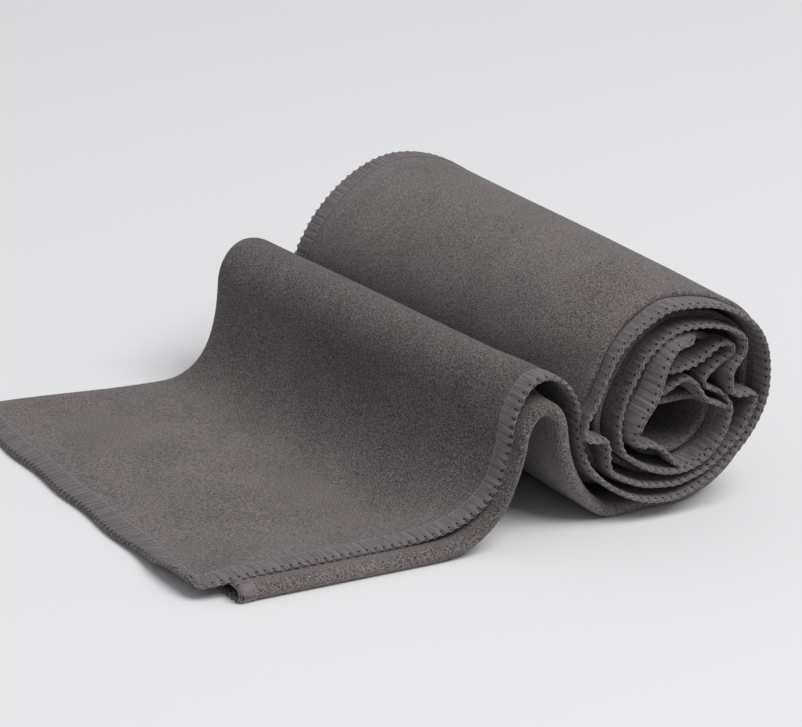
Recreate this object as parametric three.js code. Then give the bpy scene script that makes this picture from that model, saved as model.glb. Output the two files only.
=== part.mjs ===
// Rolled hand towel: one suede-finish cloth with overlocked edges. It is folded lengthwise in
// three, like a letter Z, and rolled up from one short end. The last stretch stands up in a
// hump and then lies flat as a loose tail.
// Millimetres, +Z up. X runs from the tail to the roll, Y runs from the near end of the roll
// to its far end, and Z = 0 is the surface that the towel lies on.

import * as THREE from "three";

// Driving dimensions
const cloth = { width: 406, thickness: 1, inFolds: 5 };  // inFolds: the width that two folds take up
const layerStep = 1.1;                       // between the middles of two layers pressed together
const packedFold = { at: 1.75, open: 1.3 };  // from the top layer to the fold of the two below it
const farFold = { at: 137, perNear: 0.15 };  // it moves out where the near fold moves in
const foldRound = { in: 1.5, swell: 0.1 };   // a fold is a little thicker than its two layers
const hemBand = 7;                           // the overlocked edge, which may turn out by itself
const looseReach = { from: 8, to: 30 };      // the near end's buckles and gaps close over this depth
const cornerStep = { back: 9, over: 45, in: 60 };  // the lower layers start later at the corner
const depths = { closing: 17, closed: 30, middle: 85 };
const beforeFold = 9;

// The way of the cloth, seen from the near end. A row is one bend: its place x, z and the way
// that the cloth runs there, in degrees counted on from turn to turn, with 0 along +X and 90
// straight up.
//   hem    the top layer's near edge: y is its depth, and flare is how far its band turns out
//          to the right
//   fold   the near fold of the middle and bottom layers: near is its depth, and open is how
//          far apart it holds the two. Where it isn't given, they lie packed.
//   pack   the top layer further in: far is how much x shifts at the far end
//   steps  facets along the stretch
const stretches = [
  {
    name: "tail", steps: 3,
    hem: [
      { x: 2.6, z: 4.4, way: 0, y: 5, flare: 0 },
      { x: 53, z: 4.4, way: 1, y: 4, flare: 0 },
    ],
    fold: [
      { x: 0.5, z: 1.8, way: 0, near: 0, open: 2.6 },
      { x: 57, z: 1.8, way: 0, near: 0, open: 2.6 },
    ],
    pack: [
      { x: 0.5, z: 2.7, way: 0, far: -4.5 },
      { x: 56, z: 2.7, way: 0, far: -8 },
    ],
  },
  {
    name: "up the hump", steps: 8,
    hem: [
      { x: 79.6, z: 28, way: 87, y: 3, flare: 0 },
    ],
    fold: [
      { x: 81.6, z: 25, way: 82, near: 0, open: 1.5 },
    ],
    pack: [
      { x: 79.4, z: 28, way: 87, far: -14 },
    ],
  },
  {
    name: "over the hump's crest", steps: 10,
    hem: [
      { x: 88, z: 38.5, way: 0, y: 3, flare: 0 },
      { x: 96.4, z: 28.5, way: -90, y: 2, flare: 0 },
    ],
    fold: [
      { x: 87.4, z: 31.6, way: 0, near: 2, open: 2.4 },
      { x: 91.8, z: 26, way: -82, near: 2, open: 2.4 },
    ],
    pack: [
      { x: 87.8, z: 38.4, way: 0, far: -12.5 },
      { x: 95.5, z: 28.5, way: -89, far: -6 },
    ],
  },
  {
    name: "down the hump", steps: 10,
    hem: [
      { x: 103.4, z: 9.8, way: -42, y: 2, flare: 0 },
      { x: 111, z: 5, way: -14, y: 1, flare: 0 },
      { x: 120, z: 3.4, way: -4, y: 0, flare: 0 },
    ],
    fold: [
      { x: 101.2, z: 4.6, way: -42, near: 5, open: 2.6 },
      { x: 109, z: 1.6, way: 0, near: 6, open: 2.2 },
      { x: 120, z: 1.3, way: 0, near: 7, open: 1.6 },
    ],
    pack: [
      { x: 102.4, z: 5.2, way: -42, far: 0 },
      { x: 109, z: 2.7, way: 0, far: 0 },
      { x: 120, z: 2.7, way: 0, far: 0 },
    ],
  },
  {
    name: "first turn, up the right side", steps: 9,
    hem: [
      { x: 124, z: 3.1, way: 0, y: 0, flare: 0 },
      { x: 146.9, z: 28.4, way: 90, y: 0, flare: 0 },
    ],
    fold: [
      { x: 124, z: 1.2, way: 0, near: 7, open: 1.4 },
      { x: 148.65, z: 28.4, way: 90, near: 7, open: 1.3 },
    ],
    pack: [
      { x: 124, z: 2.7, way: 0, far: 0 },
      { x: 146.9, z: 28.4, way: 90, far: 0, near: 7 },
    ],
  },
  {
    name: "first turn, over the top and down the left side", steps: 14,
    hem: [
      { x: 120.5, z: 52, way: 180, y: 0, flare: 0 },
      { x: 101, z: 30, way: 262, y: -1, flare: 2 },
    ],
    pack: [
      { x: 119.5, z: 53.6, way: 180, far: 0, near: 7 },
      { x: 101, z: 29, way: 268, far: -6.4, near: 8 },
    ],
  },
  {
    name: "second turn, along the bottom", steps: 11,
    hem: [
      { x: 101.6, z: 24.5, way: 285, y: -1, flare: 2.4 },
      { x: 104.4, z: 19, way: 296, y: 1, flare: 0 },
      { x: 108.2, z: 12.6, way: 320, y: 1, flare: 0 },
      { x: 123, z: 6.6, way: 360, y: 1, flare: 0 },
    ],
    fold: [
      { x: 107, z: 11.3, way: 320, near: 8, open: 1.3 },
      { x: 123, z: 4.9, way: 360, near: 8, open: 1.3 },
    ],
    pack: [
      { x: 108.2, z: 12.6, way: 320, far: 0 },
      { x: 123, z: 6.4, way: 360, far: 0 },
    ],
  },
  {
    name: "second turn, up the right side", steps: 8,
    hem: [
      { x: 143.2, z: 28.4, way: 450, y: 1, flare: 0 },
    ],
    fold: [
      { x: 144.95, z: 28.4, way: 450, near: 8, open: 1.3 },
    ],
    pack: [
      { x: 143.2, z: 28.4, way: 450, far: 0, near: 8, y: 1, flare: 0 },
    ],
  },
  {
    name: "second turn, over the top and down the left side", steps: 13,
    pack: [
      { x: 122.5, z: 47.4, way: 540, far: 0, near: 8, y: 1, flare: 0 },
      { x: 108, z: 25, way: 628, far: -1, near: 9, y: 1, flare: 0 },
    ],
  },
  {
    name: "third turn", steps: 12,
    pack: [
      { x: 123, z: 10.2, way: 720, far: 0, near: 9, y: 1, flare: 0 },
      { x: 139.5, z: 28.4, way: 810, far: 0, near: 9, y: 1, flare: 0 },
    ],
  },
  {
    name: "folded back to the left", steps: 10,
    pack: [
      { x: 137, z: 34.5, way: 828, far: 0, near: 9, y: 3, flare: 0 },
      { x: 130, z: 39.4, way: 900, far: 0, near: 9, y: 3, flare: 0 },
      { x: 122.6, z: 36.4, way: 935, far: 0, near: 9, y: 3, flare: 0 },
    ],
  },
  {
    name: "folded on to the right", steps: 12,
    pack: [
      { x: 118.4, z: 31.4, way: 990, far: 0, near: 9, y: 3, flare: 0 },
      { x: 122.4, z: 27.4, way: 1080, far: 0, near: 9, y: 3, flare: 0 },
      { x: 130.6, z: 27.4, way: 1072, far: 0, near: 9, y: 3, flare: 0 },
    ],
  },
  {
    name: "hook, down and back to the left", steps: 10,
    pack: [
      { x: 136.9, z: 22, way: 970, far: 0, near: 9, y: 1, flare: 0 },
      { x: 123, z: 11.7, way: 900, far: 0, near: 9, y: 1, flare: 0 },
    ],
  },
  {
    name: "hook, up to the short end inside", steps: 11,
    pack: [
      { x: 109.6, z: 25, way: 812, far: -1, near: 10, y: 3, flare: 2 },
      { x: 124, z: 45.9, way: 720, far: 0, near: 10, y: 2, flare: 1 },
    ],
  },
];

// A smooth curve through the bends. An arc between two of them is round however far it turns.
class Route {
  constructor(rows) {
    this.parts = [];
    this.length = 0;
    for (let i = 1; i < rows.length; i++) {
      const from = rows[i - 1];
      const to = rows[i];
      const turn = THREE.MathUtils.degToRad(to.way - from.way);
      const chord = Math.hypot(to.x - from.x, to.z - from.z);
      const handle = chord / (3 * Math.cos(turn / 4) ** 2);
      const curve = new THREE.CubicBezierCurve(
        new THREE.Vector2(from.x, from.z),
        heading(from.way).multiplyScalar(handle).add(new THREE.Vector2(from.x, from.z)),
        heading(to.way).multiplyScalar(-handle).add(new THREE.Vector2(to.x, to.z)),
        new THREE.Vector2(to.x, to.z),
      );
      this.parts.push({ from, to, curve, start: this.length });
      this.length += curve.getLength();
    }
  }

  // The place and every other column of the table at a share of the route's length, with the
  // direction to the left, and how fast the shift at the far end changes along the route
  at(share) {
    const distance = share * this.length;
    const part = this.parts.findLast((p) => p.start <= distance) ?? this.parts[0];
    const along = Math.min(1, (distance - part.start) / part.curve.getLength());
    const place = part.curve.getPointAt(along);
    const tangent = part.curve.getTangentAt(along);
    const row = {};
    for (const column of Object.keys(part.from)) {
      row[column] = THREE.MathUtils.lerp(part.from[column], part.to[column] ?? 0, along);
    }
    row.far = THREE.MathUtils.lerp(part.from.far, part.to.far, THREE.MathUtils.smoothstep(along, 0, 1));
    row.slope = 6 * along * (1 - along) * (part.to.far - part.from.far) / part.curve.getLength();
    return { ...row, x: place.x, z: place.y, left: new THREE.Vector2(-tangent.y, tangent.x) };
  }
}

function heading(degrees) {
  const angle = THREE.MathUtils.degToRad(degrees);
  return new THREE.Vector2(Math.cos(angle), Math.sin(angle));
}

// 1 at the near end, where the layers lie loose, and 0 where they are packed
function loose(y) {
  return 1 - THREE.MathUtils.smoothstep(y, looseReach.from, looseReach.to);
}

// The middle and bottom layers' fold where they lie packed on the right of the top layer
function foldBeside(pack) {
  const x = pack.x - pack.left.x * packedFold.at;
  const z = pack.z - pack.left.y * packedFold.at;
  return { ...pack, x, z, open: packedFold.open };
}

// The middle of the cloth across its whole width at one station, from the near hem over the
// top layer, back through the middle layer and out again through the bottom one. Layers count
// 0 at the top, 1 in the middle and 2 at the bottom.
function acrossCloth(hem, fold, pack, along) {
  const foldFar = farFold.at + farFold.perNear * fold.near;
  const slant = (y) => pack.far * y / farFold.at;
  const late = cornerStep.back * Math.max(0, 1 - along / cornerStep.over);
  const innerEdge = hem.y + hemBand;
  const nearFoldLayer = 1.5;

  function top(y) {
    const x = pack.x + slant(y) + (hem.x - pack.x) * loose(y);
    return new THREE.Vector3(x, y, pack.z + (hem.z - pack.z) * loose(y));
  }

  function lower(y, layer, open) {
    const slanted = new THREE.Vector2(pack.left.x, pack.left.y + pack.slope * y / farFold.at);
    const inPack = slanted.setLength(-layerStep * layer).add(new THREE.Vector2(pack.x, pack.z));
    const inFold = fold.left.clone().multiplyScalar(open * (nearFoldLayer - layer));
    const place = inPack.lerp(inFold.add(new THREE.Vector2(fold.x, fold.z)), loose(y));
    const step = late * Math.max(0, 1 - y / cornerStep.in);
    return new THREE.Vector3(place.x + slant(y) + step, y, place.y);
  }

  const edge = top(innerEdge);
  edge.x -= hem.left.x * hem.flare;
  edge.z -= hem.left.y * hem.flare;
  edge.y -= Math.sqrt(hemBand ** 2 - hem.flare ** 2);

  const swell = foldRound.swell / layerStep;
  const topWidth = foldFar - hem.y;
  const middleWidth = foldFar - fold.near;
  const bottomEnd = fold.near + cloth.width - cloth.inFolds - topWidth - middleWidth;
  return [
    edge,
    top(innerEdge),
    top(depths.closing),
    top(depths.closed),
    top(depths.middle),
    top(foldFar - beforeFold),
    lower(foldFar - foldRound.in, -swell, 0),
    lower(foldFar, 0.5, 0),
    lower(foldFar - foldRound.in, 1, 0),
    lower(foldFar - beforeFold, 1, 0),
    lower(depths.middle, 1, 0),
    lower(depths.closed, 1, fold.open),
    lower(depths.closing, 1, fold.open),
    lower(fold.near + foldRound.in, 1, fold.open),
    lower(fold.near, nearFoldLayer, 0),
    lower(fold.near + foldRound.in, 2, fold.open),
    lower(depths.closing, 2, fold.open),
    lower(depths.closed, 2, fold.open),
    lower(depths.middle, 2, 0),
    lower(foldFar - beforeFold, 2, 0),
    lower(bottomEnd, 2, 0),
  ];
}

// One row of points across the cloth for each station along it
function wholeCloth() {
  const rows = [];
  const last = {};
  let along = 0;
  for (const stretch of stretches) {
    const route = (table) => new Route(last.pack ? [last[table], ...stretch[table]] : stretch[table]);
    const pack = route("pack");
    const hem = stretch.hem ? route("hem") : pack;
    const fold = stretch.fold ? route("fold") : null;
    for (let step = last.pack ? 1 : 0; step <= stretch.steps; step++) {
      const share = step / stretch.steps;
      const packed = pack.at(share);
      const folded = fold?.at(share) ?? foldBeside(packed);
      rows.push(acrossCloth(hem.at(share), folded, packed, along + share * pack.length));
    }
    along += pack.length;
    last.pack = stretch.pack.at(-1);
    last.hem = (stretch.hem ?? stretch.pack).at(-1);
    last.fold = stretch.fold?.at(-1) ?? foldBeside({ ...last.pack, left: heading(last.pack.way + 90) });
  }
  return rows;
}

// The mean way of two neighbouring edges
function bisector(before, point, after) {
  const arriving = point.clone().sub(before).normalize();
  const leaving = after.clone().sub(point).normalize();
  return arriving.add(leaving);
}

// A closed body from a sheet's middle: its two faces, and a rim along the four edges
function thicken(sheet, thickness) {
  const down = sheet.length;
  const across = sheet[0].length;
  const clamp = (value, count) => Math.min(count - 1, Math.max(0, value));
  const faces = [1, -1].map((side) => sheet.flatMap((row, i) => row.map((point, j) => {
    const alongCloth = bisector(sheet[clamp(i - 1, down)][j], point, sheet[clamp(i + 1, down)][j]);
    const acrossIt = bisector(row[clamp(j - 1, across)], point, row[clamp(j + 1, across)]);
    const normal = alongCloth.cross(acrossIt).normalize();
    return point.clone().addScaledVector(normal, side * thickness / 2);
  })));
  const place = (side, i, j) => side * down * across + i * across + j;
  const index = [];
  const quad = (a, b, c, d) => index.push(a, b, c, a, c, d);
  for (let i = 0; i + 1 < down; i++) {
    for (let j = 0; j + 1 < across; j++) {
      // All layers are split along the same diagonal, so that they stay parallel
      const outward = sheet[i][j + 1].y > sheet[i][j].y;
      const front = [place(0, i, j), place(0, i + 1, j), place(0, i + 1, j + 1), place(0, i, j + 1)];
      const back = [place(1, i, j + 1), place(1, i + 1, j + 1), place(1, i + 1, j), place(1, i, j)];
      quad(...(outward ? front : [...front.slice(1), front[0]]));
      quad(...(outward ? [...back.slice(1), back[0]] : back));
    }
    quad(place(0, i, 0), place(1, i, 0), place(1, i + 1, 0), place(0, i + 1, 0));
    const end = across - 1;
    quad(place(0, i, end), place(0, i + 1, end), place(1, i + 1, end), place(1, i, end));
  }
  for (let j = 0; j + 1 < across; j++) {
    quad(place(0, 0, j), place(0, 0, j + 1), place(1, 0, j + 1), place(1, 0, j));
    const end = down - 1;
    quad(place(0, end, j), place(1, end, j), place(1, end, j + 1), place(0, end, j + 1));
  }
  const geometry = new THREE.BufferGeometry().setFromPoints(faces.flat());
  geometry.setIndex(index);
  return geometry;
}

function towel() {
  const material = new THREE.MeshStandardMaterial({ color: 0x6b6664, roughness: 0.95, metalness: 0 });
  const mesh = new THREE.Mesh(thicken(wholeCloth(), cloth.thickness), material);
  mesh.name = "towel";
  return mesh;
}

// The origin is the middle of the part's underside
const part = new THREE.Group();
part.add(towel());
const box = new THREE.Box3().setFromObject(part);
const middle = box.getCenter(new THREE.Vector3());
part.position.set(-middle.x, -middle.y, -box.min.z);

export default part;
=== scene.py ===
"""A rolled hand towel with a brushed suede face, folded lengthwise in three, with overlocked edges."""

import math
from collections import namedtuple

import bmesh
import bpy
import numpy as np
from mathutils import Euler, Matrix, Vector


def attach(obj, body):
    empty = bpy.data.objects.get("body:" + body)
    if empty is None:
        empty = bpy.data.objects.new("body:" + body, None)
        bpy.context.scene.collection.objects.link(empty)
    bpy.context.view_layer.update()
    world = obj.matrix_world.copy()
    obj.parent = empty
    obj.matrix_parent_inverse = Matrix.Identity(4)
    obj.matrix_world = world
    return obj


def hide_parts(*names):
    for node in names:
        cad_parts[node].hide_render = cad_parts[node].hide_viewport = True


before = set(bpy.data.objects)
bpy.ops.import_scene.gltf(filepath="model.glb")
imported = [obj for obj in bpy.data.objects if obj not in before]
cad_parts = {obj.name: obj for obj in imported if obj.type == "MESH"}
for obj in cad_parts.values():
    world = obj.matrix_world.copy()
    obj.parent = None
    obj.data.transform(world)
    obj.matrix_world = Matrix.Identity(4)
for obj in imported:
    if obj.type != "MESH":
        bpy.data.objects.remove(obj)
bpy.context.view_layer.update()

bl_info = {
    "name": "Rolled Hand Towel",
    "version": (1, 0, 0),
    "blender": (4, 5, 0),
    "location": "View3D > Sidebar > Towel",
    "description": "Builds a folded and rolled hand towel with overlocked edges",
    "category": "Add Mesh",
}

# The tables are in millimetres from the tail's near corner. CORNER is that corner in the frame.
MM = 0.001
CORNER = np.array([-0.072895, -0.073050, 0.000009])

FLAT_WIDTH, FLAT_LENGTH = 406.0, 610.0   # of the towel laid out
FAR_FOLD = 137.0           # depth of the fold between the top and the middle layer
FAR_FOLD_PER_NEAR = 0.15   # it moves out where the near fold moves in
FAR_FOLD_ROUND = 0.8
PACKED_STEP = 1.1          # between two layers pressed together, deep in the roll
FOLD_BESIDE = 1.5          # from the top layer to the near fold of the two layers below it
FOLD_OPEN = 1.0            # between those two where they lie pressed together
NEAR_FOLD_ROUND = 1.2      # how deep the near fold's curve is, as a share of half its height
FOLDS_TAKE = 5.0           # the width of cloth in the two lengthwise folds
LOOSE_FROM, LOOSE_TO = 8.0, 30.0   # the near end's buckles and gaps close over this depth

# The tail's short end: the lower layers start further back than the top one, and most at the near
# corner. Away from that corner the top layer comes down over them, and its end waves a little.
CORNER_BACK, CORNER_OVER, CORNER_DEPTH = 9.0, 45.0, 60.0
END_BACK = 3.6
END_DROP, END_DROP_OVER = 1.7, 6.5
END_DROP_FROM, END_DROP_TO = 15.0, 50.0
END_WAVE, END_WAVE_LENGTH = 0.35, 29.0

# The tail's far fold stands up: how far, over which depth, to where along the cloth, and the share
# of it that the middle layer takes
FAR_PUFF, FAR_PUFF_DEPTH, FAR_PUFF_OVER, FAR_PUFF_BELOW = 1.9, 15.0, 62.0, 0.2

# The cloth's lie is softly uneven: how much, and its two waves, each with the millimetres to a
# radian along the cloth and in depth, and where it starts
SWELL = 0.35
SWELL_WAVES = [(9.5, 21, 0), (17, -13, 2)]

Hem = namedtuple("Hem", "x z way y flare", defaults=(0,))
Fold = namedtuple("Fold", "x z way near open")
Pack = namedtuple("Pack", "x z way far near", defaults=(0, 9))

# The way of the cloth, seen from the near end. A row is one bend: its place x, z and the way that
# the cloth runs there, in degrees counted on from turn to turn, with 0 along +X and 90 upwards.
#   hem   the top layer's near edge: y is its depth, and flare how far its band turns out to the
#         right
#   fold  the near fold of the two lower layers: near is its depth, and open how far apart it
#         holds them. Where there is none, they lie beside the pack.
#   pack  the top layer further in: far is how much x shifts at the far end
STRETCHES = [
    dict(
        name="tail",
        hem=[Hem(0.4, 5.4, -25, 9.5), Hem(1.5, 3.5, -15, 6), Hem(5, 3.6, 4, 4.9), Hem(53, 4.5, 2, 4.5)],
        fold=[Fold(0.5, 1.9, 0, 0, 3.0), Fold(57, 1.9, 0, 0, 3.0)],
        pack=[Pack(0.5, 2.7, 0, -3.4, 0), Pack(56, 2.7, 0, -7, 0)],
    ),
    dict(
        name="up the hump",
        hem=[
            Hem(71.25, 9.5, 36, 4), Hem(77.05, 16.6, 70, 4), Hem(79.5, 26.55, 87, 4),
        ],
        fold=[Fold(68.7, 4.5, 33, 0, 2.0), Fold(76.6, 13.2, 66, 0, 1.3), Fold(80.4, 24.4, 79, 0, 1.4)],
        pack=[Pack(79.4, 28, 87, -13, 0)],
    ),
    dict(
        name="over the hump's crest",
        hem=[
            Hem(83, 35.3, 55, 4, -0.2), Hem(88.2, 38.4, 0, 4), Hem(94.4, 35, -55, 4),
            Hem(96.7, 28.3, -88, 3.5),
        ],
        fold=[Fold(87.4, 31.6, 0, 2, 2.4), Fold(91.8, 26, -82, 2, 2.4)],
        pack=[Pack(87.8, 38.4, 0, -12.5, 0), Pack(95.5, 28.5, -89, -9, 0)],
    ),
    dict(
        name="down the hump",
        hem=[
            Hem(97.4, 20.5, -78, 3), Hem(99.9, 14.4, -52, 2), Hem(106.1, 8.8, -34, 1),
            Hem(113, 5.6, -16, 0), Hem(120, 4.7, 0, 0),
        ],
        fold=[Fold(101.9, 5.1, -42, 5, 2.6), Fold(109, 1.75, 0, 6, 2.4), Fold(120, 1.4, 0, 7, 1.6)],
        pack=[Pack(102.4, 5.2, -42), Pack(109, 2.7, 0), Pack(120, 2.7, 0)],
    ),
    dict(
        name="first turn, up the right side",
        hem=[
            Hem(128.2, 6.4, 22, 0), Hem(138.8, 13.7, 44, 0), Hem(145.5, 23.9, 70, 0),
            Hem(146.5, 30.6, 90, 0),
        ],
        fold=[Fold(124, 1.2, 0, 7, 1.3), Fold(148.6, 28.4, 90, 7, 1.1)],
        pack=[Pack(124, 2.7, 0, 0, 7), Pack(146.9, 28.4, 90, 0, 7)],
    ),
    dict(
        name="first turn, over the top and down the left side",
        hem=[
            Hem(143.6, 42, 125, 0), Hem(136.3, 47.9, 152, 0), Hem(121, 51, 180, 0),
            Hem(111.8, 46.8, 214, 0, 0.9), Hem(106.7, 42, 230, 0, 1.3), Hem(103.7, 36.1, 246, 0, 1.7),
            Hem(101.3, 30.7, 248, -0.5, 2), Hem(98, 24.4, 272, -1, 2),
        ],
        fold=[
            Fold(145.3, 42.7, 125, 7, 1), Fold(137, 49.2, 152, 7, 1), Fold(121, 52.5, 180, 7, 1),
            Fold(110.5, 48.4, 214, 6.5, 1), Fold(105.2, 42.9, 230, 6, 1), Fold(102.2, 36.7, 247, 6, 1),
            Fold(99.5, 29.6, 256, 7, 1.1),
        ],
        pack=[Pack(119.5, 53.6, 180, 0, 7), Pack(101, 29, 268, -10, 8)],
    ),
    dict(
        name="second turn, buckled at the lower left",
        hem=[
            Hem(98.1, 23.1, 335, 0, 1), Hem(102.2, 21.3, 352, 1), Hem(103.5, 18.3, 272, 1),
            Hem(103.9, 14.2, 290, 1), Hem(109.4, 9.9, 331, 1), Hem(120.8, 7.3, 357, 1),
        ],
        fold=[Fold(107, 11.3, 320, 8, 1.1), Fold(122, 5.9, 358, 8, 0.9)],
        pack=[Pack(108.2, 12.6, 320, 0, 8), Pack(123, 6.4, 360, 0, 8)],
    ),
    dict(
        name="second turn, up to the tip on the right",
        hem=[
            Hem(128.8, 8.9, 377, 1), Hem(138.3, 15.2, 400, 1), Hem(143.4, 23.2, 422, 1),
            Hem(142.4, 26.5, 542, 1), Hem(138.4, 26.7, 525, 1),
        ],
        fold=[Fold(144.95, 28.4, 450, 8, 1.1)],
        pack=[Pack(143.2, 28.4, 450, 0, 8)],
    ),
    dict(
        name="second turn, over the top and down the left side",
        hem=[
            Hem(136.8, 31.5, 450, 1), Hem(139.6, 35.8, 407, 1), Hem(140.4, 39.5, 455, 1),
            Hem(137.3, 42.7, 512, 1), Hem(124.6, 45.4, 540, 1), Hem(116, 41.6, 575, 1, 0.4),
            Hem(109.5, 31.6, 602, 1, 1), Hem(106.8, 23.4, 625, 1, 0.6),
        ],
        fold=[
            Fold(144.4, 37.5, 468, 8, 1), Fold(138, 44.2, 512, 8, 1), Fold(124.6, 46.9, 540, 8, 1),
            Fold(114.9, 43, 575, 8, 1), Fold(107.8, 32.5, 602, 9, 1), Fold(105, 23.9, 625, 9, 1),
        ],
        pack=[Pack(122.5, 47.4, 540, 0, 8), Pack(108, 25, 628, -6)],
    ),
    dict(
        name="third turn",
        hem=[
            Hem(107.6, 17.4, 650, 1), Hem(110.2, 15, 682, 1), Hem(121.5, 10.2, 716, 1),
            Hem(129, 11.6, 744, 1), Hem(133.8, 15.7, 768, 1), Hem(137, 23.4, 798, 1),
        ],
        fold=[Fold(109, 14.4, 682, 9, 0.9), Fold(122, 8.8, 718, 9, 0.9), Fold(141.2, 28.4, 810, 9, 1.1)],
        pack=[Pack(123, 10.2, 720), Pack(139.5, 28.4, 810)],
    ),
    dict(
        name="folded back to the left, in an S",
        hem=[
            Hem(135.8, 26.8, 855, 3), Hem(131, 30, 815, 4), Hem(134.8, 34, 763, 4),
            Hem(138.4, 37, 795, 3), Hem(135.9, 39.4, 900, 3), Hem(130.4, 36.8, 930, 3),
            Hem(122, 34.6, 900, 3),
        ],
        pack=[Pack(137, 34.5, 828), Pack(130, 39.4, 900), Pack(122.6, 36.4, 935)],
    ),
    dict(
        name="folded on to the right, in an arch",
        hem=[
            Hem(117.6, 31.8, 990, 4), Hem(120, 29.2, 1100, 4), Hem(126, 31.7, 1080, 4),
            Hem(129.3, 28.8, 1015, 3), Hem(131.6, 25.8, 1050, 2),
        ],
        pack=[Pack(118.4, 31.4, 990), Pack(122.4, 27.4, 1080), Pack(130.6, 27.4, 1072)],
    ),
    dict(
        name="hook, down and back to the left",
        hem=[
            Hem(136.6, 23.2, 1030, 2), Hem(136.4, 19.5, 972, 2), Hem(131.5, 13.4, 940, 2),
            Hem(124.6, 10.9, 895, 2),
        ],
        pack=[Pack(136.9, 22, 970, 0, 9), Pack(123, 11.7, 900, 0, 9)],
    ),
    dict(
        name="hook, up to the short end inside",
        hem=[
            Hem(120.6, 14.2, 845, 2), Hem(113.8, 17.7, 898, 2), Hem(109.4, 20.1, 845, 0, 1),
            Hem(108.5, 23.6, 800, -2, 1.6), Hem(111.2, 29.7, 775, -3, 1.8),
            Hem(114.8, 37.5, 788, -3, 1.2), Hem(118.5, 42, 760, -2, 1), Hem(123.6, 43.3, 727, -1.6, 0.8),
            Hem(126.2, 43.5, 723, 1.6, 0.4),
        ],
        pack=[Pack(109.6, 25, 812, -1, 10), Pack(124, 45.9, 720, 0, 10)],
    ),
]


# Where the cloth lies

SAMPLES = 96      # of each stretch
BEND_POINTS = 48   # worked out on the curve from one row to the next


def smooth(value):
    """Eases from 0 to 1."""
    value = np.clip(value, 0, 1)
    return value * value * (3 - 2 * value)


def loose(depth):
    """1 at the near end, where the layers lie loose, and 0 where they are packed."""
    return 1 - smooth((depth - LOOSE_FROM) / (LOOSE_TO - LOOSE_FROM))


def heading(way):
    """The direction in x and z of a way in degrees."""
    angle = math.radians(way)
    return np.array([math.cos(angle), math.sin(angle)])


def follow(rows):
    """Samples of the smooth curve through a table's rows, evenly along its own length: each
    column, the way to the left, and the length itself."""
    t = np.linspace(0, 1, BEND_POINTS)[:, None]
    points, tangents, columns, shares, parts = [], [], [], [], []
    for a, b in zip(rows, rows[1:]):
        start, end = np.array(a[:2], float), np.array(b[:2], float)
        turn = math.radians(b.way - a.way)
        handle = math.dist(start, end) / (3 * math.cos(turn / 4) ** 2)
        out, back = start + heading(a.way) * handle, end - heading(b.way) * handle
        place = (1 - t)**3 * start + 3*(1 - t)**2*t * out + 3*(1 - t)*t*t * back + t**3 * end
        tangent = (1 - t)**2 * (out - start) + 2*(1 - t)*t * (back - out) + t*t * (end - back)
        length = np.r_[0, np.cumsum(np.linalg.norm(np.diff(place, axis=0), axis=1))]
        share = length / length[-1]
        columns.append(np.array(a[3:], float) + np.outer(share, np.subtract(b[3:], a[3:])))
        points.append(place)
        tangents.append(tangent / np.linalg.norm(tangent, axis=1)[:, None])
        parts.append(length)
        shares.append(share)
    total = np.cumsum([0] + [p[-1] for p in parts])
    along = np.concatenate([total[i] + p for i, p in enumerate(parts)])
    even = np.linspace(0, total[-1], SAMPLES)
    data = np.hstack([np.vstack(points), np.vstack(tangents), np.vstack(columns)])
    picked = np.stack([np.interp(even, along, column) for column in data.T])
    names = rows[0]._fields
    found = dict(zip((names[0], names[1], "tx", "tz") + names[3:], picked))
    found["left_x"], found["left_z"] = -found.pop("tz"), found.pop("tx")
    found["length"] = even
    if "far" in found:
        share = np.interp(even, along, np.concatenate(shares))
        part = np.minimum(np.searchsorted(total, even, side="right") - 1, len(parts) - 1)
        start = np.array([r.far for r in rows])[part]
        rise = np.array([r.far for r in rows])[part + 1] - start
        found["far"] = start + rise * smooth(share)
        found["slope"] = 6 * share * (1 - share) * rise / np.diff(total)[part]
    return found


def beside(pack):
    """The near fold of the two lower layers where they lie on the right of the pack."""
    return {
        **pack,
        "x": pack["x"] - pack["left_x"] * FOLD_BESIDE,
        "z": pack["z"] - pack["left_z"] * FOLD_BESIDE,
        "open": np.full(SAMPLES, FOLD_OPEN),
    }


def end_to_end(parts):
    """One route of several parts, with the columns that all of them have."""
    names = sorted(set(parts[0]).intersection(*parts))
    return {n: np.concatenate([part[n] for part in parts]) for n in names}


def ways():
    """The routes of hem, fold and pack, sampled together from the short end of the tail on."""
    joined = {"hem": [], "fold": [], "pack": []}
    last, start = None, 0.0
    for stretch in STRETCHES:
        routes = {}
        for kind in ("hem", "pack", "fold"):
            rows = stretch.get(kind)
            if kind == "fold" and rows is None:
                routes[kind] = beside(routes["pack"])
                continue
            if last:
                rows = [last[kind], *rows]
            routes[kind] = follow(rows)
        routes["pack"]["along"] = start + routes["pack"]["length"]
        start = routes["pack"]["along"][-1]
        end = {k: {n: v[-1] for n, v in r.items()} for k, r in routes.items()}
        way = stretch["pack"][-1].way
        last = {
            "hem": stretch["hem"][-1],
            "pack": stretch["pack"][-1],
            "fold": stretch["fold"][-1] if "fold" in stretch
            else Fold(end["fold"]["x"], end["fold"]["z"], way, end["pack"]["near"], FOLD_OPEN),
        }
        skip = 1 if joined["pack"] else 0
        for kind, route in routes.items():
            joined[kind].append({n: v[skip:] for n, v in route.items()})
    return {kind: end_to_end(parts) for kind, parts in joined.items()}


WAYS = ways()
ALONG = WAYS["pack"]["along"]
LENGTH = ALONG[-1]
ROLL_STRETCH = 4                        # how many stretches lie outside the roll
ROLL_START = ALONG[ROLL_STRETCH * (SAMPLES - 1)]
RIM_UP, RIM_UP_OVER = 0.6, 15.0         # in the roll the hem's rows lie this far under its middle

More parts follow.
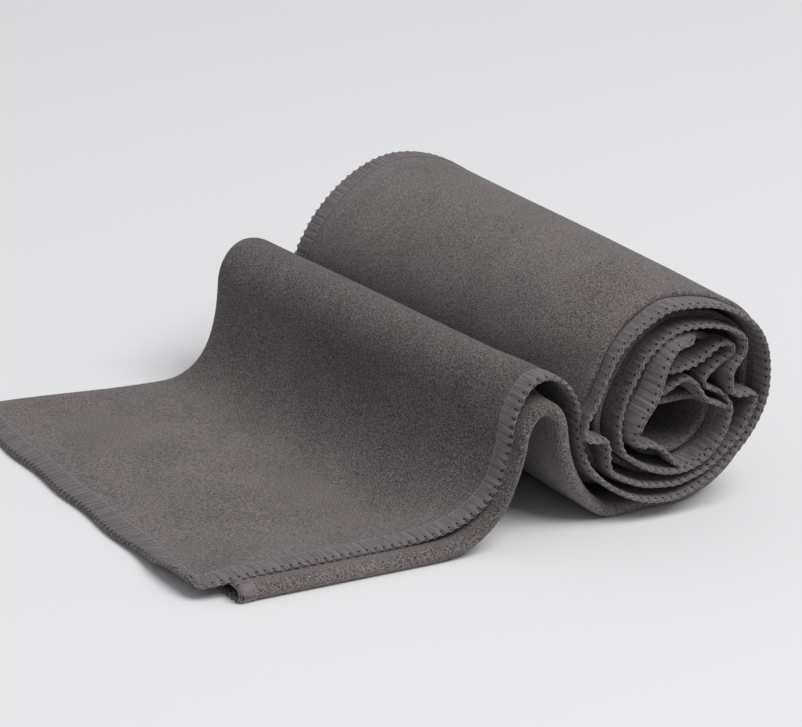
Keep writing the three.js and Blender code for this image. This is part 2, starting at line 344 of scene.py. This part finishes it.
# The cloth's width in the flat, from the near hem on: band, top layer, far fold, middle layer,
# near fold and bottom layer
HEM_BAND = 5.5
WIDTHS = np.cumsum([0, HEM_BAND, 129.7, 2.5, 134.5, 3.3, 130.5])
BAND, TOP, FAR, MIDDLE, NEAR, BOTTOM = range(6)


def swell(along, depth):
    """Long soft waves in the cloth, from 0 to 1, for a layer and those under it alike."""
    waves = [np.sin(along / a + depth / d + start) for a, d, start in SWELL_WAVES]
    return 0.5 + sum(waves) / 4


def lie(along, across):
    """The middle of the cloth, in millimetres, at places along and across it. Across counts the
    parts of WIDTHS, so 2.5 is the middle of the far fold."""
    along, across = np.broadcast_arrays(np.asarray(along, float), np.asarray(across, float))
    hem, fold, pack = (
        {n: np.interp(along, ALONG, v) for n, v in WAYS[kind].items()}
        for kind in ("hem", "fold", "pack")
    )
    far_fold = FAR_FOLD + FAR_FOLD_PER_NEAR * fold["near"]
    part = np.minimum(np.floor(across).astype(int), BOTTOM)
    share = across - part

    # depth, and how far from the top layer in the pack, and from the fold's middle near the end
    band_end = hem["y"] + HEM_BAND
    top_end = far_fold - FAR_FOLD_ROUND
    near_round = fold["open"] / 2 * NEAR_FOLD_ROUND
    near_start = fold["near"] + near_round
    bottom_end = (fold["near"] + FLAT_WIDTH - FOLDS_TAKE
                  - (far_fold - hem["y"]) - (far_fold - fold["near"]))
    turn = math.pi * share
    band_length = np.sqrt(HEM_BAND**2 - hem["flare"]**2)
    depth = np.select(
        [part == BAND, part == TOP, part == FAR, part == MIDDLE, part == NEAR],
        [
            band_end - (1 - share) * band_length,
            band_end + share * (top_end - band_end),
            top_end + FAR_FOLD_ROUND * np.sin(turn),
            top_end + share * (near_start - top_end),
            near_start - near_round * np.sin(turn),
        ],
        near_start + share * (bottom_end - near_start),
    )
    in_pack = -PACKED_STEP * np.select(
        [part <= TOP, part == FAR, part == MIDDLE, part == NEAR],
        [0 * share, (1 - np.cos(turn)) / 2, 1 + 0 * share, 1.5 - np.cos(turn) / 2],
        2 + 0 * share,
    )
    in_fold = fold["open"] / 2 * np.select(
        [part <= MIDDLE, part == NEAR], [1 + 0 * share, np.cos(turn)], -1 + 0 * share)

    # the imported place, with the roll's slant, the soft swell and the tail's far fold and short end
    upper = part <= TOP
    slant = depth / FAR_FOLD
    rise = pack["left_z"] + pack["slope"] * slant
    lean = np.hypot(pack["left_x"], rise)
    off = in_pack + SWELL * swell(along, depth)
    lower = (part >= MIDDLE) + np.where(part == FAR, smooth(share), 0)
    tail_start = np.clip(1 - along / CORNER_OVER, 0, 1)
    back = END_BACK + (CORNER_BACK - END_BACK) * np.clip(1 - depth / CORNER_DEPTH, 0, 1)
    wave = END_WAVE * np.sin(math.tau * depth / END_WAVE_LENGTH) * tail_start**2
    late = back * tail_start * lower + wave
    drop = END_DROP * np.clip(1 - along / END_DROP_OVER, 0, 1) ** 3 * (1 - lower)
    drop = drop * smooth((depth - END_DROP_FROM) / (END_DROP_TO - END_DROP_FROM))
    on_tail = 1 - smooth(along / FAR_PUFF_OVER)
    puff = (FAR_PUFF * on_tail * smooth((depth - top_end + FAR_PUFF_DEPTH) / FAR_PUFF_DEPTH)
            * np.select([part <= TOP, part == FAR, part == MIDDLE],
                        [1, 1 - (1 - FAR_PUFF_BELOW) * share, FAR_PUFF_BELOW], 0))
    deep_x = pack["x"] + pack["far"] * slant + off * pack["left_x"] / lean
    deep_z = pack["z"] + off * rise / lean - drop + puff

    # the loose place at the near end, where the hem and the fold are followed one by one
    shown = loose(np.where(part == BAND, band_end, depth))
    out = hem["flare"] * np.where(part == BAND, 1 - share, 0) ** 1.5
    near_x = np.where(upper, hem["x"] - out * hem["left_x"], fold["x"] + in_fold * fold["left_x"])
    near_z = np.where(upper, hem["z"] - out * hem["left_z"], fold["z"] + in_fold * fold["left_z"])
    near_z = near_z + RIM_UP * upper * smooth((along - ROLL_START) / RIM_UP_OVER)
    x = deep_x + (near_x - deep_x) * shown + late
    z = deep_z + (near_z - deep_z) * shown
    return np.stack([x, depth, z], axis=-1)


def across_at(width):
    """The place across the cloth, in parts, at a width in millimetres in the flat."""
    return np.interp(width, WIDTHS, np.arange(len(WIDTHS)))


def normals(places):
    """The cloth's own upward side at each place of a lattice."""
    along, across = np.gradient(places, axis=0), np.gradient(places, axis=1)
    normal = np.cross(along, across)
    return normal / np.linalg.norm(normal, axis=-1)[..., None]


# Pieces

FLOOR_CLEAR = 0.02   # nothing lies lower than this

# The sheet's stations along it, which lie closer together up to END_CLOSE, and its columns across
# it, counted in the parts of WIDTHS
END_CLOSE, CLOSE_STATIONS, STATIONS = 8.0, 12, 500
Columns = namedtuple("Columns", "start stop count")
SHEET_COLUMNS = [
    Columns(0, 1, 3), Columns(1, 1.2, 12), Columns(1.2, 1.85, 8), Columns(1.85, 2, 5),
    Columns(2, 3, 5), Columns(3, 3.15, 4), Columns(3.15, 3.8, 7), Columns(3.8, 4, 9),
    Columns(4, 5, 7), Columns(5, 5.2, 9), Columns(5.2, 6, 8),
]

TAIL_BAND = 0.75         # the band on the tail's short end is drawn in to this share of its width
STITCH = 2.1             # pitch of the overlock stitches
# The pinholes, and the groove inward from each, are painted dark as the shade in them.
HOLE_ROW, HOLE = 0.42, 0.36   # depth of the row of pinholes at the rim, and their radius
SEAM = 0.18              # half the needle line's width; beyond it the band's foot is in shade
GROOVE = 0.13            # half the width of the dark groove inward from each pinhole
NEAR_ROWS, OTHER_ROWS, THREAD_ROWS = 6, 5, 8   # of faces to a stitch, on the bands and the thread

# The pale thread: its radius and sides, how far out from the edge it runs, how much less at the
# turns of its wave, and how far the wave goes up and down
THREAD_ROUND, THREAD_SIDES = 0.15, 4
THREAD_OUT, THREAD_IN, THREAD_WAVE = 0.48, 0.06, 0.34

# A section of the overlocked edge: depth from the cloth's edge, height above its middle, and how
# much of the ribs it takes
Section = namedtuple("Section", "depth height ribs")
BAND_SECTION = [
    Section(HEM_BAND + 0.4, 0.30, 0), Section(HEM_BAND + 0.15, 0.58, 0.3),
    Section(HEM_BAND - 0.2, 0.60, 0.3), Section(HEM_BAND - 0.55, 0.50, 0.6),
    Section(4.2, 0.57, 1), Section(3.3, 0.60, 1), Section(2.5, 0.62, 1), Section(1.75, 0.63, 1),
    Section(1.15, 0.63, 1), Section(0.65, 0.60, 1), Section(0.25, 0.52, 1),
]
RIM = [(0.26, 0.37), (0.38, 0.0), (0.26, -0.37)]   # out from the last section, and up
RIB, RIB_UNEVEN = 0.06, 0.05   # height of the ribs, and how much it varies
SCALLOP = 0.2                  # how far the rim goes out and in with each stitch


def add_grid(bm, uv, places, flat):
    """A grid whose vertices lie at the places of a lattice, with flat coordinates in its UV map."""
    rows, columns = places.shape[:2]
    made = bmesh.ops.create_grid(bm, x_segments=columns - 1, y_segments=rows - 1, size=0.5)["verts"]
    world = places.copy()
    world[..., 2] = np.maximum(world[..., 2], FLOOR_CLEAR)
    world = world * MM + CORNER
    faces = set()
    for v in made:
        i = round((v.co.y + 0.5) * (rows - 1))
        j = round((v.co.x + 0.5) * (columns - 1))
        v.index = i * columns + j
        v.co = world[i, j]
        faces.update(v.link_faces)
    for face in faces:
        for corner in face.loops:
            corner[uv].uv = flat[divmod(corner.vert.index, columns)]


def grid_piece(name, lattices, material, closed=False):
    """An object of one or more placed grids. A closed one is a tube: its last column repeats the
    first, and its ends are filled."""
    bm = bmesh.new()
    uv = bm.loops.layers.uv.new("Flat")
    for places, flat in lattices:
        add_grid(bm, uv, places, flat)
    if closed:
        bmesh.ops.remove_doubles(bm, verts=bm.verts, dist=1e-7)
        bmesh.ops.holes_fill(bm, edges=[e for e in bm.edges if e.is_boundary], sides=0)
        bmesh.ops.recalc_face_normals(bm, faces=bm.faces)
    for face in bm.faces:
        face.smooth = True
    mesh = bpy.data.meshes.new(name)
    bm.to_mesh(mesh)
    bm.free()
    mesh.materials.append(material)
    piece = bpy.data.objects.new(name, mesh)
    bpy.context.collection.objects.link(piece)
    return piece


def cloth_sheet(thickness, material):
    """The whole towel's cloth on its folds, as one sheet with its real thickness."""
    walked = [
        np.r_[0, np.cumsum(np.hypot(np.diff(r["x"]), np.diff(r["z"])))]
        for r in (WAYS["hem"], WAYS["pack"])
    ]
    mean = sum(walked) / 2
    stations = np.r_[
        np.linspace(0, END_CLOSE, CLOSE_STATIONS, endpoint=False),
        np.linspace(END_CLOSE, mean[-1], STATIONS),
    ]
    stations = np.interp(stations, mean, ALONG)
    across = np.concatenate([np.linspace(*c, endpoint=False) for c in SHEET_COLUMNS])
    across = np.r_[across, SHEET_COLUMNS[-1].stop]
    places = lie(stations[:, None], across[None, :])
    widths = np.interp(across, np.arange(len(WIDTHS)), WIDTHS)
    flat = np.stack(np.broadcast_arrays(stations[:, None] * MM, widths[None, :] * MM), axis=-1)
    cloth = grid_piece("towel_cloth", [(places, flat)], material)
    thick = cloth.modifiers.new("thickness", "SOLIDIFY")
    thick.thickness = thickness
    thick.offset = 0
    return cloth


def near_edge(depths, per_stitch):
    """The cloth's middle beside the near long edge, at stations along it and depths from it."""
    return long_edge(0, across_at(depths), per_stitch)


def far_edge(depths, per_stitch):
    """The same beside the other long edge, which lies inside the folds."""
    return long_edge(len(WIDTHS) - 1, across_at(WIDTHS[-1] - depths), per_stitch)


def long_edge(edge, across, per_stitch):
    """Rows evenly along a long edge, so many to a stitch, and how far along it each one is."""
    hem = lie(ALONG, edge)
    walked = np.r_[0, np.cumsum(np.linalg.norm(np.diff(hem, axis=0), axis=1))]
    even = np.arange(0, walked[-1], STITCH / per_stitch)
    stations = np.interp(even, walked, ALONG)
    return lie(stations[:, None], across[None, :]), even


def tail_end(depths, per_stitch):
    """The same beside the short end of the tail, where the band is drawn in."""
    return short_end(TAIL_BAND * depths, per_stitch)


def inner_end(depths, per_stitch):
    """The same beside the short end in the roll."""
    return short_end(LENGTH - depths, per_stitch)


def short_end(along, per_stitch):
    """Rows evenly along a short end, so many to a stitch, and how far along it each one is."""
    even = np.arange(0, WIDTHS[-1], STITCH / per_stitch)
    return lie(along[None, :], across_at(even)[:, None]), even


EDGES = {"near": near_edge, "far": far_edge, "tail_end": tail_end, "inner_end": inner_end}


def outwards(places):
    """The way out of the cloth at an edge, from a lattice whose last column is the edge."""
    way = places[:, -1] - places[:, -2]
    return way / np.linalg.norm(way, axis=-1)[:, None]


def overlock_band(name, edge, per_stitch, material):
    """Thread wound over an edge from face to face, in ribs, with a round rim."""
    depths = np.array([s.depth for s in BAND_SECTION])
    heights = np.array([s.height for s in BAND_SECTION])
    ribs = np.array([s.ribs for s in BAND_SECTION])
    places, walked = edge(depths, per_stitch)
    normal = normals(places[:, ::-1])[:, ::-1]
    phase = np.cos(math.tau * walked / STITCH)[:, None]
    uneven = np.random.default_rng(len(walked)).uniform(-1, 1, (len(walked), 1))
    rise = (heights + ribs * (RIB * phase + RIB_UNEVEN * uneven))[..., None] * normal
    outward = outwards(places)
    rim = [
        places[:, -1] + outward * (out + SCALLOP * phase) + normal[:, -1] * up
        for out, up in RIM
    ]
    wrapped = np.concatenate([places + rise, np.stack(rim, axis=1), (places - rise)[:, ::-1]], axis=1)
    wrapped = np.concatenate([wrapped, wrapped[:, :1]], axis=1)
    across = np.concatenate([depths, [0, 0, 0], -depths[::-1], depths[:1]])
    flat = np.stack(np.broadcast_arrays(walked[:, None] / STITCH, across[None, :]), axis=-1)
    return grid_piece(name, [(wrapped, flat)], material, closed=True)


def edge_loops(material):
    """The pale thread that crosses the rim from one row of pinholes to the other and back, once a
    stitch, along all four edges."""
    lattices = []
    for edge in EDGES.values():
        places, walked = edge(np.array([1.0, 0.0]), THREAD_ROWS)
        normal = normals(places[:, ::-1])[:, -1]
        outward = outwards(places)
        wave = np.cos(math.tau * walked / STITCH)[:, None]
        out = THREAD_OUT + SCALLOP * wave - THREAD_IN * wave**2
        line = places[:, 1] + outward * out + normal * THREAD_WAVE * wave
        ahead = np.gradient(line, axis=0)
        ahead /= np.linalg.norm(ahead, axis=-1)[:, None]
        aside = np.cross(ahead, outward)
        aside /= np.linalg.norm(aside, axis=-1)[:, None]
        upward = np.cross(aside, ahead)
        turn = (math.tau * np.arange(THREAD_SIDES + 1) / THREAD_SIDES)[None, :, None]
        ring = np.cos(turn) * aside[:, None] + np.sin(turn) * upward[:, None]
        ring[:, -1] = ring[:, 0]
        flat = np.zeros((len(line), THREAD_SIDES + 1, 2))
        lattices.append((line[:, None] + THREAD_ROUND * ring, flat))
    return grid_piece("edge_loops", lattices, material, closed=True)


# Materials

def new_material(name, **values):
    """A material with its shader's uniform values set, and the tree to add to."""
    material = bpy.data.materials.new(name)
    material.use_nodes = True
    shader = material.node_tree.nodes["Principled BSDF"]
    for socket, value in values.items():
        shader.inputs[socket].default_value = value
    return material, Tree(material.node_tree, shader)


class Tree:
    """Adds nodes to a material. A value is a number, or another node's output."""

    def __init__(self, tree, shader):
        self.tree, self.shader = tree, shader

    def add(self, kind, **values):
        made = self.tree.nodes.new(kind)
        for name, value in values.items():
            if name not in made.inputs:
                setattr(made, name, value)
            elif isinstance(value, bpy.types.NodeSocket):
                self.tree.links.new(value, made.inputs[name])
            else:
                made.inputs[name].default_value = value
        return made

    def math(self, operation, *values):
        made = self.tree.nodes.new("ShaderNodeMath")
        made.operation = operation
        for socket, value in zip(made.inputs, values):
            if isinstance(value, bpy.types.NodeSocket):
                self.tree.links.new(value, socket)
            else:
                socket.default_value = value
        return made.outputs[0]

    def ramp(self, factor, low, high, dark, light):
        made = self.tree.nodes.new("ShaderNodeValToRGB")
        for element, place, colour in zip(made.color_ramp.elements, (low, high), (dark, light)):
            element.position = place
            element.color = (*colour, 1)
        self.tree.links.new(factor, made.inputs["Fac"])
        return made.outputs["Color"]

    def colour(self, socket):
        self.tree.links.new(socket, self.shader.inputs["Base Color"])

    def bump(self, height, strength, distance):
        made = self.add("ShaderNodeBump", Strength=strength, Distance=distance, Height=height)
        self.tree.links.new(made.outputs["Normal"], self.shader.inputs["Normal"])


def tinted(colour, share):
    """A colour made darker or lighter."""
    return tuple(c * share for c in colour)


# The nap's tone is its grain with a little of broad patches. Between these two values it goes from
# the darkest share of the colour to the lightest.
GRAIN_SCALE, PATCH_SCALE, PATCH_WEIGHT = 2600.0, 60.0, 0.1
TONE_LOW, TONE_HIGH = 0.42, 0.68
NAP_DARKEST, NAP_LIGHTEST = 0.15, 1.9

# Painted shade over the hump's left face and crest, where the cloth's tone is darkened: its middle in
# metres along the cloth, how far it reaches each way, and how much
PAINTED_SHADE_AT, PAINTED_SHADE_OVER, PAINTED_SHADE_AMOUNT = 0.093, 0.045, 0.065


def brushed_suede(colour):
    """Short brushed nap: speckled tone in small flocks, a soft sheen and a fine uneven bump."""
    material, tree = new_material("brushed_suede", **{
        "Roughness": 0.95, "Specular IOR Level": 0.15, "Sheen Weight": 0.22, "Sheen Roughness": 0.5,
    })
    place = tree.add("ShaderNodeTexCoord").outputs["Object"]
    fine = tree.add("ShaderNodeTexNoise", Vector=place, Scale=GRAIN_SCALE, Detail=3.0, Roughness=0.8)
    broad = tree.add("ShaderNodeTexNoise", Vector=place, Scale=PATCH_SCALE, Detail=4.0, Roughness=0.6)
    speckle = tree.math("MULTIPLY_ADD", broad.outputs["Fac"], PATCH_WEIGHT, fine.outputs["Fac"])
    flat = tree.add("ShaderNodeUVMap", uv_map="Flat").outputs["UV"]
    length = tree.add("ShaderNodeSeparateXYZ", Vector=flat)
    # painted shade: the tone is lowered over one stretch along the cloth, most at its middle and fading
    # out to either side
    from_middle = tree.math("ABSOLUTE", tree.math("SUBTRACT", length.outputs["X"], PAINTED_SHADE_AT))
    turned = tree.math("MULTIPLY_ADD", from_middle, -1 / PAINTED_SHADE_OVER, 1.0)
    turned = tree.math("MAXIMUM", turned, 0.0)
    speckle = tree.math("MULTIPLY_ADD", turned, -PAINTED_SHADE_AMOUNT, speckle)
    dark, light = tinted(colour, NAP_DARKEST), tinted(colour, NAP_LIGHTEST)
    tree.colour(tree.ramp(speckle, TONE_LOW, TONE_HIGH, dark, light))
    tree.bump(fine.outputs["Fac"], strength=0.55, distance=0.0004)
    return material


# Ribs of thread to a stitch, how fast they change across the band, and how much painted shade darkens
# the holes, the grooves and the band's foot
RIBS_A_STITCH, RIBS_ACROSS = 3.4, 0.16
HOLE_SHADE, GROOVE_SHADE, FOOT_SHADE = 0.88, 0.38, 0.7

# The thread's tone: a base, and what the ribs, the fine grain and the needle line add to it
TONE_BASE, RIB_TONE, FINE_TONE, LINE_TONE = 0.15, 1.3, 0.4, 0.45


def overlock_thread(colour):
    """Lilac thread laid side by side over the edge: ribs, a groove between two stitches, a row of
    pinholes at each rim, the ridge of the needle line and the band's shaded foot beyond it. Its UV
    map counts stitches, and gives the depth from the edge in millimetres, below nought on the
    under face."""
    material, tree = new_material("overlock_thread", **{
        "Roughness": 0.8, "Specular IOR Level": 0.2, "Sheen Weight": 0.15,
    })
    flat = tree.add("ShaderNodeUVMap", uv_map="Flat").outputs["UV"]
    apart = tree.add("ShaderNodeSeparateXYZ", Vector=flat)
    stitches, across = apart.outputs["X"], apart.outputs["Y"]
    depth = tree.math("ABSOLUTE", across)

    # the holes of the under face lie halfway between those of the upper one
    turned = tree.math("MULTIPLY_ADD", tree.math("LESS_THAN", across, 0.0), 0.5, stitches)
    along = tree.math("MULTIPLY", tree.math("SUBTRACT", tree.math("FRACT", turned), 0.5), STITCH)
    inward = tree.math("SUBTRACT", depth, HOLE_ROW)
    square = tree.math("MULTIPLY_ADD", along, along, tree.math("MULTIPLY", inward, inward))
    hole = tree.math("LESS_THAN", square, HOLE * HOLE)
    beside = tree.math("LESS_THAN", tree.math("ABSOLUTE", along), GROOVE)
    groove = tree.math("MULTIPLY", beside, tree.math("GREATER_THAN", inward, 0.0))
    foot = tree.math("GREATER_THAN", depth, HEM_BAND + SEAM)
    # painted shade: the grooves between stitches, the band's foot past the needle line and the pinholes
    # are darkened as if in shade
    dark = tree.math("MAXIMUM", tree.math("MULTIPLY", groove, GROOVE_SHADE),
                     tree.math("MULTIPLY", foot, FOOT_SHADE))
    dark = tree.math("MAXIMUM", hole, dark)
    from_line = tree.math("ABSOLUTE", tree.math("SUBTRACT", depth, HEM_BAND))
    needle = tree.math("LESS_THAN", from_line, SEAM)

    streaks = tree.add("ShaderNodeCombineXYZ", X=tree.math("MULTIPLY", stitches, RIBS_A_STITCH),
                       Y=tree.math("MULTIPLY", across, RIBS_ACROSS))
    ribs = tree.add("ShaderNodeTexNoise", Vector=streaks.outputs[0], Scale=1.0, Detail=2.0)
    place = tree.add("ShaderNodeTexCoord").outputs["Object"]
    fine = tree.add("ShaderNodeTexNoise", Vector=place, Scale=1800.0, Detail=2.0)
    tone = tree.math("MULTIPLY_ADD", ribs.outputs["Fac"], RIB_TONE, TONE_BASE)
    tone = tree.math("MULTIPLY_ADD", fine.outputs["Fac"], FINE_TONE, tone)
    tone = tree.math("MULTIPLY_ADD", needle, LINE_TONE, tone)
    lit = tree.math("SUBTRACT", 1.0, tree.math("MULTIPLY", dark, HOLE_SHADE))
    tone = tree.math("MULTIPLY", tone, lit)
    tree.colour(tree.ramp(tree.math("MULTIPLY", tone, 0.5), 0.0, 1.0, (0, 0, 0), tinted(colour, 2)))
    tree.bump(tone, strength=0.55, distance=0.0003)
    return material


def pale_thread(colour):
    """Twisted pale thread, lighter than the band."""
    material, tree = new_material("pale_thread", **{"Roughness": 0.7, "Specular IOR Level": 0.25})
    place = tree.add("ShaderNodeTexCoord").outputs["Object"]
    fine = tree.add("ShaderNodeTexNoise", Vector=place, Scale=1100.0, Detail=2.0)
    tree.colour(tree.ramp(fine.outputs["Fac"], 0.3, 0.7, tinted(colour, 0.55), tinted(colour, 1.3)))
    return material


def pale_floor(colour):
    """Matt pale paper."""
    material, _ = new_material("pale_floor", **{"Roughness": 0.9, "Base Color": (*colour, 1)})
    return material


# What a user may change, and what makes each piece

class TowelSizes(bpy.types.PropertyGroup):
    """The cloth's thickness and the strength of the light."""
    cloth_thickness: bpy.props.FloatProperty(
        name="Cloth thickness", description="Thickness of one layer of cloth",
        default=0.00085, min=0.0003, max=0.0011, precision=5, unit="LENGTH")
    key_power: bpy.props.FloatProperty(
        name="Key light", description="Power of the large soft light above",
        default=73.0, min=0.0, unit="POWER")
    world_strength: bpy.props.FloatProperty(
        name="Light all round", description="Strength of the even light from all sides",
        default=0.36, min=0.0)


class TowelColours(bpy.types.PropertyGroup):
    """Colours of cloth, threads and floor."""
    suede: bpy.props.FloatVectorProperty(
        name="Suede", description="Mean colour of the brushed cloth",
        subtype="COLOR", default=(0.156, 0.133, 0.130), min=0.0, max=1.0)
    overlock: bpy.props.FloatVectorProperty(
        name="Overlock", description="Mean colour of the thread wound over the edges",
        subtype="COLOR", default=(0.172, 0.15, 0.162), min=0.0, max=1.0)
    pale_thread: bpy.props.FloatVectorProperty(
        name="Pale thread", description="Mean colour of the thread that waves along the rim",
        subtype="COLOR", default=(0.225, 0.2, 0.212), min=0.0, max=1.0)
    floor: bpy.props.FloatVectorProperty(
        name="Floor", description="Colour of the floor",
        subtype="COLOR", default=(0.88, 0.88, 0.89), min=0.0, max=1.0)


class TOWEL_OT_cloth(bpy.types.Operator):
    """Lay the folded and rolled cloth in place of the plain solid"""
    bl_idname = "towel.cloth"
    bl_label = "Cloth"

    def execute(self, context):
        scene = context.scene
        cloth = cloth_sheet(scene.towel_sizes.cloth_thickness, brushed_suede(scene.towel_colours.suede))
        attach(cloth, "root")
        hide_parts("towel")
        return {"FINISHED"}


class TOWEL_OT_overlock(bpy.types.Operator):
    """Wind the overlock thread over the four edges of the cloth"""
    bl_idname = "towel.overlock"
    bl_label = "Overlocked edges"

    def execute(self, context):
        cloth = bpy.data.objects.get("towel_cloth")
        if cloth is None:
            raise RuntimeError("make the cloth first")
        colours = context.scene.towel_colours
        thread = overlock_thread(colours.overlock)
        pieces = [
            overlock_band(name + "_overlock", edge, NEAR_ROWS if name == "near" else OTHER_ROWS, thread)
            for name, edge in EDGES.items()
        ]
        pieces.append(edge_loops(pale_thread(colours.pale_thread)))
        for piece in pieces:
            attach(piece, "root")
        return {"FINISHED"}


FLOOR_SIZE = 6.0
LIGHT_PLACE, LIGHT_SIZE = (0.77, -1.54, 2.57), 2.0
WORLD_COLOUR = (0.97, 0.97, 1.0, 1)
VIEW_PLACE = (-238.86, -551.49, 262.16)       # from the tail's near corner
VIEW_DOWN, VIEW_ASIDE = 18.87, 27.55          # degrees below level, and turned to the right
IMAGE_WIDTH, FOCAL_PIXELS, SENSOR = 802, 3000, 36


class TOWEL_OT_stage(bpy.types.Operator):
    """Set up the pale floor, the soft light and the camera"""
    bl_idname = "towel.stage"
    bl_label = "Stage"

    def execute(self, context):
        scene = context.scene
        sizes = scene.towel_sizes
        bm = bmesh.new()
        bmesh.ops.create_grid(bm, x_segments=1, y_segments=1, size=FLOOR_SIZE)
        mesh = bpy.data.meshes.new("floor")
        bm.to_mesh(mesh)
        bm.free()
        mesh.materials.append(pale_floor(scene.towel_colours.floor))
        floor = bpy.data.objects.new("floor", mesh)
        context.collection.objects.link(floor)

        world = bpy.data.worlds.new("soft_light")
        world.use_nodes = True
        background = world.node_tree.nodes["Background"]
        background.inputs["Color"].default_value = WORLD_COLOUR
        background.inputs["Strength"].default_value = sizes.world_strength
        scene.world = world
        scene.view_settings.view_transform = "Standard"

        light = bpy.data.lights.new("key", "AREA")
        light.size, light.energy = LIGHT_SIZE, sizes.key_power
        lamp = bpy.data.objects.new("key", light)
        lamp.location = LIGHT_PLACE
        lamp.rotation_euler = (-Vector(LIGHT_PLACE)).to_track_quat("-Z", "Y").to_euler()
        context.collection.objects.link(lamp)

        lens = bpy.data.cameras.new("camera")
        lens.sensor_width = SENSOR
        lens.lens = FOCAL_PIXELS / IMAGE_WIDTH * SENSOR
        lens.clip_start, lens.clip_end = 0.05, 20
        camera = bpy.data.objects.new("camera", lens)
        camera.location = np.array(VIEW_PLACE) * MM + CORNER
        camera.rotation_euler = Euler((math.radians(90 - VIEW_DOWN), 0, math.radians(-VIEW_ASIDE)))
        context.collection.objects.link(camera)
        scene.camera = camera
        return {"FINISHED"}


class TOWEL_PT_parts(bpy.types.Panel):
    """Lists the sizes, the colours and the pieces"""
    bl_label = "Rolled hand towel"
    bl_idname = "TOWEL_PT_parts"
    bl_space_type = "VIEW_3D"
    bl_region_type = "UI"
    bl_category = "Towel"

    def draw(self, context):
        for group in (context.scene.towel_sizes, context.scene.towel_colours):
            for name in group.__annotations__:
                self.layout.prop(group, name)
        for operator in OPERATORS:
            self.layout.operator(operator.bl_idname)


OPERATORS = (TOWEL_OT_cloth, TOWEL_OT_overlock, TOWEL_OT_stage)
CLASSES = (TowelSizes, TowelColours, *OPERATORS, TOWEL_PT_parts)


def register():
    for cls in CLASSES:
        bpy.utils.register_class(cls)
    bpy.types.Scene.towel_sizes = bpy.props.PointerProperty(type=TowelSizes)
    bpy.types.Scene.towel_colours = bpy.props.PointerProperty(type=TowelColours)


def unregister():
    del bpy.types.Scene.towel_colours
    del bpy.types.Scene.towel_sizes
    for cls in reversed(CLASSES):
        bpy.utils.unregister_class(cls)


def main():
    register()
    bpy.ops.towel.cloth()
    bpy.ops.towel.overlock()
    bpy.ops.towel.stage()


if __name__ == "__main__":
    main()
